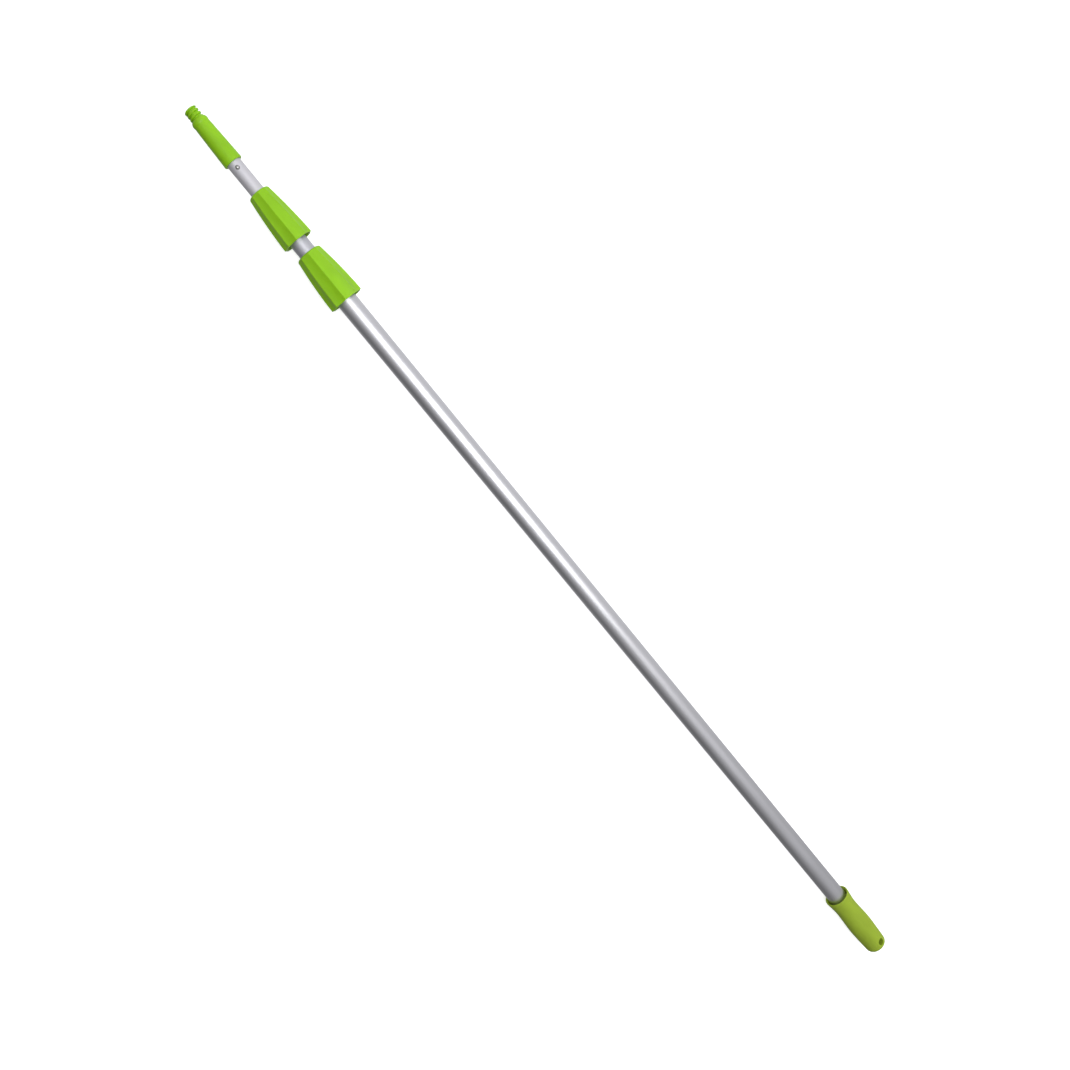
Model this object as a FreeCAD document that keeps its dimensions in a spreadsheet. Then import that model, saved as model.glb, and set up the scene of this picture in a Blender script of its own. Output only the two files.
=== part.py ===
"""Three-section telescopic cleaning pole, lying along X with its threaded tip towards +X.

Every station is a distance along the pole from the closed end of the grip.  The frame's
origin is half way along the pole, on the surface that the lower collar stands on.
Each sub-part is drawn along its own local X axis, and its Placement carries it to its
station on the pole's axis.  All lengths are in millimetres.
"""

import FreeCAD, Part
import math
import os

import Sketcher

DIMENSIONS = {
    # tubes
    "outer_tube_diameter": 30.0,
    "middle_tube_diameter": 26.0,
    "inner_tube_diameter": 21.0,
    "outer_tube_wall": 1.3,
    "middle_tube_wall": 1.3,
    "inner_tube_wall": 1.2,
    # stations and lengths along the pole
    "lower_collar_start": 1357.0,
    "collar_length": 81.0,
    "collar_gap": 20.0,
    "bare_inner_tube": 48.7,
    "cone_length": 70.0,
    "stub_length": 15.2,
    # grip
    "grip_length": 123.0,
    "grip_mouth_diameter": 41.8,
    "grip_mouth_opening": 37.6,
    "grip_mouth_depth": 12.0,
    "grip_neck_diameter": 37.0,
    "grip_bulge_diameter": 40.2,
    "grip_heel_diameter": 36.0,
    "grip_end_flat_diameter": 25.0,
    "grip_solid_end": 26.0,
    "hang_hole_diameter": 11.0,
    "hang_hole_station": 12.0,
    "hang_hole_turn": 30.0,
    # plugs and stops inside the tubes
    "bung_length": 20.0,
    "bump_stop_length": 6.0,
    "bump_stop_diameter": 26.4,
    "stop_clearance": 0.2,
    "guide_clearance": 0.25,
    "guide_flange_length": 8.0,
    "guide_spigot_length": 30.0,
    "plug_pin_diameter": 3.0,
    "stop_ring_offset": 140.0,
    "stop_ring_length": 12.0,
    # clutches
    "lower_collar_rim_diameter": 52.6,
    "lower_collar_middle_diameter": 48.1,
    "lower_collar_top_diameter": 39.4,
    "upper_collar_rim_diameter": 46.8,
    "upper_collar_middle_diameter": 41.6,
    "upper_collar_top_diameter": 33.2,
    "collar_top_rounding": 4.8,
    "collar_rim_rounding": 1.4,
    "collar_wall": 3.9,
    "collar_cavity_depth": 31.0,
    "collar_thread_start": 36.0,
    "collar_thread_end": 66.0,
    "collar_seat_end": 75.5,
    "collar_bore_clearance": 0.6,
    "flute_count": 9,
    "flute_radius": 45.0,
    "flute_rim_share": 0.088,
    "flute_middle_share": 0.084,
    "flute_top_share": 0.077,
    "sleeve_offset": 14.0,
    "sleeve_length": 43.0,
    "sleeve_tube_depth": 33.0,
    "sleeve_wall": 3.3,
    "sleeve_neck_wall": 2.6,
    "sleeve_thread_start": 19.0,
    "sleeve_flange_length": 4.0,
    "sleeve_lip_length": 2.0,
    "sleeve_pin_offset": 11.5,
    "sleeve_pin_diameter": 3.2,
    "sleeve_pin_head_diameter": 6.0,
    "sleeve_pin_head_height": 0.9,
    "thread_gap": 0.1,
    "jaw_thickness": 3.3,
    "jaw_offset": 50.0,
    "jaw_lower_taper": 7.0,
    "jaw_band": 9.0,
    "jaw_upper_taper": 9.0,
    "jaw_toe_thickness": 0.8,
    "jaw_slot_width": 3.0,
    "jaw_gap": 0.05,
    "seat_gap": 0.15,
    # tip
    "spigot_length": 30.0,
    "socket_depth": 12.0,
    "cone_rim_diameter": 27.2,
    "cone_middle_diameter": 25.4,
    "cone_top_diameter": 23.0,
    "cone_shoulder_length": 8.0,
    "cone_edge": 1.0,
    "cone_core_diameter": 12.0,
    "cone_core_depth": 12.0,
    "thread_diameter": 19.0,
    "thread_root_diameter": 15.4,
    "thread_pitch": 5.08,
    "thread_chamfer": 1.2,
    # snap button, spring and the bore that holds them
    "button_below_cone": 9.6,
    "button_diameter": 5.4,
    "button_flange_diameter": 7.2,
    "button_flange_bottom": 5.6,
    "button_flange_top": 8.4,
    "button_shoulder": 11.2,
    "button_top": 12.3,
    "button_hole_diameter": 6.3,
    "button_bore_diameter": 7.6,
    "button_bore_floor": 6.0,
    "spring_diameter": 5.2,
    "spring_wire": 0.8,
    "spring_pitch": 2.2,
}


class Size:
    """A length that keeps both its value and the sheet expression that gives it."""

    def __init__(self, value, text):
        self.value = float(value)
        self.text = text

    @staticmethod
    def of(other):
        return other if isinstance(other, Size) else Size(other, repr(float(other)))

    def combine(self, other, value, sign):
        return Size(value, f"({self.text} {sign} {other.text})")

    def __add__(self, other):
        other = Size.of(other)
        return self.combine(other, self.value + other.value, "+")

    def __sub__(self, other):
        other = Size.of(other)
        return self.combine(other, self.value - other.value, "-")

    def __mul__(self, other):
        other = Size.of(other)
        return self.combine(other, self.value * other.value, "*")

    def __truediv__(self, other):
        other = Size.of(other)
        return self.combine(other, self.value / other.value, "/")

    def square_root(self):
        return Size(math.sqrt(self.value), f"sqrt({self.text})")


ZERO = Size(0, "0")
document = FreeCAD.newDocument("cleaning_pole")
sheet = document.addObject("Spreadsheet::Sheet", "Dimensions")
for row, (alias, number) in enumerate(DIMENSIONS.items(), start=1):
    sheet.set(f"A{row}", alias)
    sheet.set(f"B{row}", str(number))
    sheet.setAlias(f"B{row}", alias)
document.recompute()


def size(alias):
    """The driving dimension of that name, bound to its cell."""
    return Size(DIMENSIONS[alias], f"Dimensions.{alias}")


# ---------------------------------------------------------------- derived sizes

OUTER_RADIUS = size("outer_tube_diameter") / 2
OUTER_BORE = OUTER_RADIUS - size("outer_tube_wall")
MIDDLE_RADIUS = size("middle_tube_diameter") / 2
MIDDLE_BORE = MIDDLE_RADIUS - size("middle_tube_wall")
INNER_RADIUS = size("inner_tube_diameter") / 2
INNER_BORE = INNER_RADIUS - size("inner_tube_wall")

LOWER_COLLAR = size("lower_collar_start")
UPPER_COLLAR = LOWER_COLLAR + size("collar_length") + size("collar_gap")
CONE = UPPER_COLLAR + size("collar_length") + size("bare_inner_tube")
TOTAL = CONE + size("cone_length") + size("stub_length")

# The lower collar stands on the two ridges beside its bottom flute.  A ridge's edge is
# where the circle of the rim meets the circle of the flute's cutter.
RIM = size("lower_collar_rim_diameter") / 2
CUTTER_AXIS = RIM * (Size.of(1) - size("flute_rim_share")) + size("flute_radius")
CUTTER_REACH = size("flute_radius") * size("flute_radius")
AXIS_HEIGHT = (CUTTER_AXIS * CUTTER_AXIS + RIM * RIM - CUTTER_REACH) / (CUTTER_AXIS * 2)

TUBE_END_IN_CLUTCH = size("sleeve_offset") + size("sleeve_tube_depth")
OUTER_TUBE = size("grip_solid_end")
OUTER_TUBE_END = LOWER_COLLAR + TUBE_END_IN_CLUTCH
BUMP_STOP = OUTER_TUBE + size("bung_length")
MIDDLE_PLUG = BUMP_STOP + size("bump_stop_length") + size("stop_clearance")
MIDDLE_TUBE = MIDDLE_PLUG + size("guide_flange_length")
MIDDLE_TUBE_END = UPPER_COLLAR + TUBE_END_IN_CLUTCH
INNER_PLUG = MIDDLE_TUBE + size("guide_spigot_length") + size("stop_clearance")
INNER_TUBE = INNER_PLUG + size("guide_flange_length")
INNER_TUBE_END = CONE + size("socket_depth")
SPIGOT = CONE - size("spigot_length")
BUTTON = CONE - size("button_below_cone")


# ---------------------------------------------------------------- drawing helpers


def new_body(name):
    body = document.addObject("PartDesign::Body", name)
    body.Label = name
    return body


def origin_feature(body, role):
    for feature in body.Origin.OriginFeatures:
        if feature.Role == role:
            return feature
    raise ValueError(f"{body.Name} has no {role}")


def new_sketch(body, name, role, offset=None):
    """A sketch on one of the body's own origin planes, or at a distance from it."""
    sketch = body.newObject("Sketcher::SketchObject", name)
    sketch.AttachmentSupport = [(origin_feature(body, role), "")]
    sketch.MapMode = "FlatFace"
    if offset is not None:
        sketch.setExpression("AttachmentOffset.Base.z", offset.text)
    return sketch


def bind(sketch, kind, geometry, point, length, name):
    """Holds one coordinate of a point to a sheet expression, or to the axis if it is zero."""
    if length.value == 0:
        axis = -2 if kind == "DistanceX" else -1
        sketch.addConstraint(Sketcher.Constraint("PointOnObject", geometry, point, axis))
        return
    made = Sketcher.Constraint(kind, -1, 1, geometry, point, length.value)
    index = sketch.addConstraint(made)
    sketch.renameConstraint(index, name)
    sketch.setExpression(f"Constraints.{name}", length.text)


def outline(body, name, corners, role="XZ_Plane"):
    """A closed outline.  A corner is (x, y), or (x, y, (mid_x, mid_y)) where the side that
    leaves it is an arc through the middle point."""
    sketch = new_sketch(body, name, role)
    corners = [(Size.of(c[0]), Size.of(c[1]), *c[2:]) for c in corners]
    points = [FreeCAD.Vector(c[0].value, c[1].value, 0) for c in corners]
    ends = []
    for index, corner in enumerate(corners):
        start, end = points[index], points[(index + 1) % len(points)]
        if len(corner) < 3:
            geometry = sketch.addGeometry(Part.LineSegment(start, end))
            ends.append((geometry, 1, 2))
            continue
        middle = [Size.of(value) for value in corner[2]]
        through = FreeCAD.Vector(middle[0].value, middle[1].value, 0)
        geometry = sketch.addGeometry(Part.Arc(start, through, end))
        forward = sketch.getPoint(geometry, 1).distanceToPoint(start) < 1e-6
        ends.append((geometry, 1, 2) if forward else (geometry, 2, 1))
        mark = sketch.addGeometry(Part.Point(through), True)
        sketch.addConstraint(Sketcher.Constraint("PointOnObject", mark, 1, geometry))
        bind(sketch, "DistanceX", mark, 1, middle[0], f"mid_x{index}")
        bind(sketch, "DistanceY", mark, 1, middle[1], f"mid_y{index}")
    for index, corner in enumerate(corners):
        geometry, first, last = ends[index]
        following, following_first, _ = ends[(index + 1) % len(ends)]
        meet = Sketcher.Constraint("Coincident", geometry, last, following, following_first)
        sketch.addConstraint(meet)
        bind(sketch, "DistanceX", geometry, first, corner[0], f"x{index}")
        bind(sketch, "DistanceY", geometry, first, corner[1], f"y{index}")
    return sketch


def circle(body, name, role, x, y, radius, offset=None):
    sketch = new_sketch(body, name, role, offset)
    x, y, radius = Size.of(x), Size.of(y), Size.of(radius)
    centre = FreeCAD.Vector(x.value, y.value, 0)
    axis = FreeCAD.Vector(0, 0, 1)
    geometry = sketch.addGeometry(Part.Circle(centre, axis, radius.value))
    bind(sketch, "DistanceX", geometry, 3, x, "x")
    bind(sketch, "DistanceY", geometry, 3, y, "y")
    index = sketch.addConstraint(Sketcher.Constraint("Radius", geometry, radius.value))
    sketch.renameConstraint(index, "radius")
    sketch.setExpression("Constraints.radius", radius.text)
    return sketch


def revolve(body, name, corners, axis="H_Axis"):
    """Turns an outline a full circle about the sketch's own X (or Y) axis."""
    sketch = outline(body, f"{name}_outline", corners)
    feature = body.newObject("PartDesign::Revolution", name)
    feature.Profile = sketch
    feature.ReferenceAxis = (sketch, [axis])
    feature.Angle = 360
    document.recompute()
    return feature


def cut(body, name, sketch, reverse=False, both_ways=False):
    """Cuts a sketch right through, and makes sure that something was cut away."""
    before = body.Shape.Volume
    feature = body.newObject("PartDesign::Pocket", name)
    feature.Profile = sketch
    feature.Type = "ThroughAll"
    feature.SideType = "Symmetric" if both_ways else "One side"
    feature.Reversed = reverse
    document.recompute()
    if body.Shape.Volume > before - 0.5:
        raise ValueError(f"{name} cuts nothing")
    return feature


def station(thing, distance, height=None):
    """Puts a sub-part on the pole's axis, with its local zero at a station."""
    place = distance - TOTAL / 2
    thing.setExpression("Placement.Base.x", place.text)
    thing.setExpression("Placement.Base.z", (height or AXIS_HEIGHT).text)


def ring_corners(length, bore, outside):
    return [(ZERO, bore), (length, bore), (length, outside), (ZERO, outside)]


# ---------------------------------------------------------------- tubes


def tube(name, start, end, bore, outside, holes):
    """A drawn tube with cross holes; each hole is (name, station, diameter, right_through)."""
    body = new_body(name)
    revolve(body, f"{name}_wall", ring_corners(end - start, bore, outside))
    for hole, place, diameter, right_through in holes:
        role = "XZ_Plane" if right_through else "XY_Plane"
        sketch = circle(body, hole, role, place - start, ZERO, diameter / 2)
        cut(body, f"{hole}_cut", sketch, reverse=True, both_ways=right_through)
    station(body, start)


def plug_pin_station(plug):
    return plug + size("guide_flange_length") + size("guide_spigot_length") / 2


def outer_tube():
    pins = LOWER_COLLAR + size("sleeve_offset") + size("sleeve_pin_offset")
    holes = [("outer_pin_holes", pins, size("sleeve_pin_diameter"), True)]
    tube("outer_tube", OUTER_TUBE, OUTER_TUBE_END, OUTER_BORE, OUTER_RADIUS, holes)


def middle_tube():
    pins = UPPER_COLLAR + size("sleeve_offset") + size("sleeve_pin_offset")
    plug_pin = plug_pin_station(MIDDLE_PLUG)
    holes = [
        ("middle_pin_holes", pins, size("sleeve_pin_diameter"), True),
        ("middle_plug_pin_holes", plug_pin, size("plug_pin_diameter"), True),
    ]
    tube("middle_tube", MIDDLE_TUBE, MIDDLE_TUBE_END, MIDDLE_BORE, MIDDLE_RADIUS, holes)


def inner_tube():
    plug_pin = plug_pin_station(INNER_PLUG)
    holes = [
        ("inner_plug_pin_holes", plug_pin, size("plug_pin_diameter"), True),
        ("button_hole", BUTTON, size("button_hole_diameter"), False),
    ]
    tube("inner_tube", INNER_TUBE, INNER_TUBE_END, INNER_BORE, INNER_RADIUS, holes)


# ---------------------------------------------------------------- grip end


def grip():
    """A moulded sleeve: a rounded solid heel with a hang hole, a palm swell, a waist and
    a flared open mouth that stands clear of the tube."""
    length = size("grip_length")
    heel = size("grip_heel_diameter") / 2
    flat = size("grip_end_flat_diameter") / 2
    swell = size("grip_bulge_diameter") / 2
    waist = size("grip_neck_diameter") / 2
    mouth = size("grip_mouth_diameter") / 2
    opening = size("grip_mouth_opening") / 2
    rounding = heel - flat
    corners = [
        (ZERO, ZERO),
        (size("grip_solid_end"), ZERO),
        (size("grip_solid_end"), OUTER_RADIUS),
        (length - size("grip_mouth_depth"), OUTER_RADIUS),
        (length, opening),
        (length, mouth - 0.6),
        (length - 1.0, mouth),
        (length * 0.915, mouth - 1.0, (length * 0.776, waist)),
        (length * 0.638, waist + 0.5, (length * 0.436, swell)),
        (rounding * 1.5, heel, (rounding * 0.36, flat + rounding * 0.66)),
        (ZERO, flat),
    ]
    body = new_body("grip")
    revolve(body, "grip_moulding", corners)
    hole = circle(
        body,
        "hang_hole",
        "XY_Plane",
        size("hang_hole_station"),
        ZERO,
        size("hang_hole_diameter") / 2,
    )
    cut(body, "hang_hole_cut", hole, both_ways=True)
    station(body, ZERO)
    about_pole = FreeCAD.Rotation(FreeCAD.Vector(1, 0, 0), DIMENSIONS["hang_hole_turn"])
    body.Placement = FreeCAD.Placement(body.Placement.Base, about_pole)


def outer_tube_bung():
    body = new_body("outer_tube_bung")
    revolve(body, "bung_turning", ring_corners(size("bung_length"), ZERO, OUTER_BORE))
    station(body, OUTER_TUBE)


def bump_stop():
    disc = ring_corners(size("bump_stop_length"), ZERO, size("bump_stop_diameter") / 2)
    body = new_body("bump_stop")
    revolve(body, "bump_stop_disc", disc)
    station(body, BUMP_STOP)


# ---------------------------------------------------------------- guides in the tubes


def guide_plug(name, start, tube_bore, outer_bore):
    """A flanged plug in the foot of a tube; its flange runs in the next tube's bore."""
    flange = outer_bore - size("guide_clearance")
    flange_end = size("guide_flange_length")
    full = flange_end + size("guide_spigot_length")
    corners = [
        (ZERO, ZERO),
        (full, ZERO),
        (full, tube_bore),
        (flange_end, tube_bore),
        (flange_end, flange),
        (ZERO + 1.0, flange),
        (ZERO, flange - 1.0),
    ]
    body = new_body(name)
    revolve(body, f"{name}_turning", corners)
    pin_place = flange_end + size("guide_spigot_length") / 2
    hole = circle(
        body, f"{name}_bore", "XZ_Plane", pin_place, ZERO, size("plug_pin_diameter") / 2
    )
    cut(body, f"{name}_bore_cut", hole, both_ways=True)
    station(body, start)


def plug_pin(name, plug, tube_radius):
    """A dowel through a tube and its plug, just short of the tube's surface."""
    length = tube_radius * 2 - 1.0
    pin = document.addObject("Part::Cylinder", name)
    pin.Label = name
    pin.setExpression("Radius", (size("plug_pin_diameter") / 2).text)
    pin.setExpression("Height", length.text)
    across = FreeCAD.Rotation(FreeCAD.Vector(1, 0, 0), 90)
    pin.Placement = FreeCAD.Placement(FreeCAD.Vector(0, 0, 0), across)
    pin.setExpression("Placement.Base.y", (length / 2).text)
    station(pin, plug_pin_station(plug))


def stop_ring(name, plug, tube_radius, outer_bore):
    """A ring fixed on a tube, which meets the next clutch at full reach."""
    outside = outer_bore - size("guide_clearance")
    body = new_body(name)
    corners = ring_corners(size("stop_ring_length"), tube_radius, outside)
    revolve(body, f"{name}_ring", corners)
    station(body, plug + size("stop_ring_offset"))


# ---------------------------------------------------------------- clutches


class Clutch:
    """One twist lock: the tube that carries it, the tube that it grips, and its collar."""

    def __init__(self, prefix, start, carrier, gripped):
        self.prefix = prefix
        self.start = start
        self.carrier = carrier
        self.gripped = gripped
        self.carrier_bore = carrier - size(
            "outer_tube_wall" if prefix == "lower" else "middle_tube_wall"
        )
        self.rim = size(f"{prefix}_collar_rim_diameter") / 2
        self.middle = size(f"{prefix}_collar_middle_diameter") / 2
        self.top = size(f"{prefix}_collar_top_diameter") / 2
        self.thread = carrier + size("sleeve_wall")
        self.jaw_toe = gripped + size("jaw_toe_thickness")
        self.jaw_outside = gripped + size("jaw_thickness")


def sleeve(clutch):
    """The threaded sleeve pinned over the end of the carrying tube.  Its mouth is the
    lower seat of the jaw."""
    name = f"{clutch.prefix}_sleeve"
    length = size("sleeve_length")
    depth = size("sleeve_tube_depth")
    neck = clutch.carrier + size("sleeve_neck_wall")
    lip = clutch.gripped + size("guide_clearance")
    seat_gap = size("seat_gap")
    corners = [
        (ZERO, clutch.carrier),
        (depth, clutch.carrier),
        (depth, lip),
        (depth + size("sleeve_lip_length"), lip),
        (depth + size("sleeve_lip_length"), clutch.jaw_toe + seat_gap),
        (length, clutch.jaw_outside + seat_gap),
        (length, clutch.thread),
        (size("sleeve_thread_start"), clutch.thread),
        (size("sleeve_thread_start") - 1.0, neck),
        (size("sleeve_flange_length"), neck),
        (size("sleeve_flange_length"), clutch.thread),
        (ZERO, clutch.thread),
    ]
    body = new_body(name)
    revolve(body, f"{name}_moulding", corners)
    holes = circle(
        body,
        f"{name}_pin_holes",
        "XZ_Plane",
        size("sleeve_pin_offset"),
        ZERO,
        size("sleeve_pin_diameter") / 2,
    )
    cut(body, f"{name}_pin_holes_cut", holes, both_ways=True)
    station(body, clutch.start + size("sleeve_offset"))


def sleeve_pins(clutch):
    """Two opposite rivets that hold the sleeve on its tube, as one group of solids."""
    name = f"{clutch.prefix}_sleeve_pins"
    place = clutch.start + size("sleeve_offset") + size("sleeve_pin_offset")
    neck = clutch.carrier + size("sleeve_neck_wall")
    rivets = []
    for side, turn in (("left", -90), ("right", 90)):
        shank = document.addObject("Part::Cylinder", f"{name}_{side}_shank")
        head = document.addObject("Part::Cylinder", f"{name}_{side}_head")
        rotation = FreeCAD.Rotation(FreeCAD.Vector(1, 0, 0), turn)
        sign = 1 if side == "left" else -1
        shank_length = neck - clutch.carrier_bore - 0.1
        shank.setExpression("Radius", (size("sleeve_pin_diameter") / 2).text)
        shank.setExpression("Height", shank_length.text)
        head.setExpression("Radius", (size("sleeve_pin_head_diameter") / 2).text)
        head.setExpression("Height", size("sleeve_pin_head_height").text)
        for solid, reach in ((shank, clutch.carrier_bore + 0.1), (head, neck)):
            solid.Placement = FreeCAD.Placement(FreeCAD.Vector(0, 0, 0), rotation)
            solid.setExpression("Placement.Base.y", (reach * sign).text)
            station(solid, place)
        rivet = document.addObject("Part::Fuse", f"{name}_{side}")
        rivet.Base = shank
        rivet.Tool = head
        rivets.append(rivet)
    group = document.addObject("Part::Compound", name)
    group.Links = rivets
    group.Label = name


def jaw(clutch):
    """The split double-tapered bush that closes on the gripped tube."""
    name = f"{clutch.prefix}_jaw"
    bore = clutch.gripped + size("jaw_gap")
    lower = size("jaw_lower_taper")
    band = lower + size("jaw_band")
    upper = band + size("jaw_upper_taper")
    corners = [
        (ZERO, bore),
        (upper, bore),
        (upper, clutch.jaw_toe),
        (band, clutch.jaw_outside),
        (lower, clutch.jaw_outside),
        (ZERO, clutch.jaw_toe + 0.2),
    ]
    body = new_body(name)
    revolve(body, f"{name}_bush", corners)
    slot_half = size("jaw_slot_width") / 2
    slot = outline(
        body,
        f"{name}_slot",
        [
            (ZERO - 1.0, ZERO - slot_half),
            (upper + 1.0, ZERO - slot_half),
            (upper + 1.0, slot_half),
            (ZERO - 1.0, slot_half),
        ],
        role="XY_Plane",
    )
    cut(body, f"{name}_slot_cut", slot)
    station(body, clutch.start + size("jaw_offset"))


def collar(clutch):
    """The fluted twist collar: an open skirt at its wide end, then the threaded bore, the
    upper seat of the jaw, and a round mouth for the gripped tube."""
    name = f"{clutch.prefix}_collar"
    length = size("collar_length")
    rounding = size("collar_top_rounding")
    rim_rounding = size("collar_rim_rounding")
    side_end = length - rounding
    mouth = clutch.gripped + size("collar_bore_clearance")
    thread = clutch.thread + size("thread_gap")
    seat_gap = size("seat_gap")
    wall = size("collar_wall")
    cavity = clutch.rim - wall
    cavity_end = clutch.middle - wall
    corners = [
        (ZERO, cavity),
        (size("collar_cavity_depth"), cavity_end),
        (size("collar_thread_start"), thread),
        (size("collar_thread_end"), thread),
        (size("collar_thread_end"), clutch.jaw_outside + seat_gap),
        (size("collar_seat_end"), clutch.jaw_toe + seat_gap),
        (size("collar_seat_end"), mouth),
        (length, mouth),
        (
            length,
            clutch.top - rounding * 0.9,
            (length - rounding * 0.25, clutch.top - rounding * 0.25),
        ),
        (side_end, clutch.top, (length * 0.49, clutch.middle)),
        (rim_rounding, clutch.rim),
        (ZERO, clutch.rim - rim_rounding * 0.6),
    ]
    body = new_body(name)
    revolve(body, f"{name}_moulding", corners)
    flutes(body, name, clutch)
    station(body, clutch.start)


def flutes(body, name, clutch):
    """Cuts a concave flute from rim to mouth with a waisted roller whose axis lies along
    the pole, and repeats it round the collar.  A flute is turned straight down."""
    length = size("collar_length")
    rim_rounding = size("collar_rim_rounding")
    side_end = length - size("collar_top_rounding")
    foot = clutch.rim * (Size.of(1) - size("flute_rim_share"))
    middle = clutch.middle * (Size.of(1) - size("flute_middle_share"))
    head = clutch.top * (Size.of(1) - size("flute_top_share"))
    axis = foot + size("flute_radius")
    corners = [
        (ZERO - 2.0, ZERO - axis),
        (ZERO - 2.0, ZERO - foot),
        (rim_rounding, ZERO - foot, (length * 0.49, ZERO - middle)),
        (side_end, ZERO - head),
        (length + 2.0, ZERO - head),
        (length + 2.0, ZERO - axis),
    ]
    roller = outline(body, f"{name}_flute_roller", corners)
    start = FreeCAD.Vector(-10, -axis.value, 0)
    end = FreeCAD.Vector(10, -axis.value, 0)
    line = roller.addGeometry(Part.LineSegment(start, end), True)
    roller.addConstraint(Sketcher.Constraint("Horizontal", line))
    bind(roller, "DistanceY", line, 1, ZERO - axis, "axis")
    before = body.Shape.Volume
    flute = body.newObject("PartDesign::Groove", f"{name}_flute")
    flute.Profile = roller
    flute.ReferenceAxis = (roller, ["Axis0"])
    flute.Angle = 360
    document.recompute()
    pattern = body.newObject("PartDesign::PolarPattern", f"{name}_flutes")
    pattern.Originals = [flute]
    pattern.Axis = (origin_feature(body, "X_Axis"), [""])
    pattern.Angle = 360
    pattern.setExpression("Occurrences", size("flute_count").text)
    body.Tip = pattern
    document.recompute()
    if body.Shape.Volume > before - 500:
        raise ValueError(f"{name} has no flutes")


# ---------------------------------------------------------------- tip


def tip_cone():
    """The moulded tip: a spigot in the inner tube, a tapered cone that covers the tube's
    end, and a stub with a coarse thread for the cleaning tools."""
    spigot = size("spigot_length")
    socket = spigot + size("socket_depth")
    side_end = spigot + size("cone_length") - size("cone_shoulder_length")
    cone_end = spigot + size("cone_length")
    rim = size("cone_rim_diameter") / 2
    middle = size("cone_middle_diameter") / 2
    top = size("cone_top_diameter") / 2
    root = size("thread_root_diameter") / 2
    thread = size("thread_diameter") / 2
    chamfer = size("thread_chamfer")
    end = cone_end + size("stub_length")
    body = new_body("tip_cone")
    stub = [
        (cone_end - 2.0, ZERO),
        (end, ZERO),
        (end, thread - chamfer),
        (end - chamfer, thread),
        (cone_end - 2.0, thread),
    ]
    revolve(body, "threaded_stub", stub)
    thread_groove(body, end, root, thread)
    core = size("cone_core_diameter") / 2
    cone = [
        (ZERO, core),
        (size("cone_core_depth"), core),
        (size("cone_core_depth"), ZERO),
        (cone_end, ZERO),
        (
            cone_end,
            thread - 0.6,
            (cone_end - size("cone_shoulder_length") * 0.3, top - 0.7),
        ),
        (side_end, top, (spigot + size("cone_length") * 0.42, middle)),
        (spigot + size("cone_edge"), rim),
        (spigot, rim - size("cone_edge")),
        (spigot, INNER_RADIUS),
        (socket, INNER_RADIUS),
        (socket, INNER_BORE),
        (ZERO, INNER_BORE),
    ]
    revolve(body, "cone_and_spigot", cone)
    place = spigot - size("button_below_cone")
    bore = circle(
        body,
        "button_bore",
        "XY_Plane",
        place,
        ZERO,
        size("button_bore_diameter") / 2,
        offset=ZERO - size("button_bore_floor"),
    )
    cut(body, "button_bore_cut", bore, reverse=True)
    station(body, SPIGOT)


def thread_groove(body, end, root, thread):
    """Cuts a right-hand trapezoidal groove of one start along the stub."""
    pitch = size("thread_pitch")
    start = end - size("stub_length") - pitch * 0.75
    above = thread + 0.4
    corners = [
        (start, above),
        (start + pitch * 0.19, root),
        (start + pitch * 0.44, root),
        (start + pitch * 0.63, above),
    ]
    groove = outline(body, "thread_groove_section", corners)
    before = body.Shape.Volume
    helix = body.newObject("PartDesign::SubtractiveHelix", "thread_groove")
    helix.Profile = groove
    helix.ReferenceAxis = (groove, ["H_Axis"])
    helix.Mode = 0
    helix.setExpression("Pitch", pitch.text)
    helix.setExpression("Height", (size("stub_length") + pitch).text)
    document.recompute()
    if body.Shape.Volume > before - 200:
        raise ValueError("the thread has no groove")


def snap_button():
    """A flanged button with a domed head, which points up through the tube's hole."""
    head = size("button_diameter") / 2
    flange = size("button_flange_diameter") / 2
    top = size("button_top")
    shoulder = size("button_shoulder")
    rise = top - shoulder
    dome = (head * head + rise * rise) / (rise * 2)
    across = head / 2
    height = top - dome + (dome * dome - across * across).square_root()
    corners = [
        (ZERO, size("button_flange_bottom")),
        (flange, size("button_flange_bottom")),
        (flange, size("button_flange_top")),
        (head, size("button_flange_top")),
        (head, shoulder, (across, height)),
        (ZERO, top),
    ]
    body = new_body("snap_button")
    revolve(body, "button_turning", corners, axis="V_Axis")
    station(body, BUTTON)


def button_spring():
    """A coil spring that stands on the bore's floor and pushes the button out."""
    wire = size("spring_wire") / 2
    coil = size("spring_diameter") / 2 - wire
    floor = ZERO - size("button_bore_floor")
    travel = size("button_bore_floor") + size("button_flange_bottom")
    body = new_body("button_spring")
    section = circle(body, "wire_section", "XZ_Plane", coil, floor + wire, wire)
    helix = body.newObject("PartDesign::AdditiveHelix", "spring_coil")
    helix.Profile = section
    helix.ReferenceAxis = (section, ["V_Axis"])
    helix.Mode = 0
    helix.setExpression("Pitch", size("spring_pitch").text)
    helix.setExpression("Height", (travel - size("spring_wire") - 0.1).text)
    document.recompute()
    station(body, BUTTON)


# ---------------------------------------------------------------- the whole pole


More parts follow.
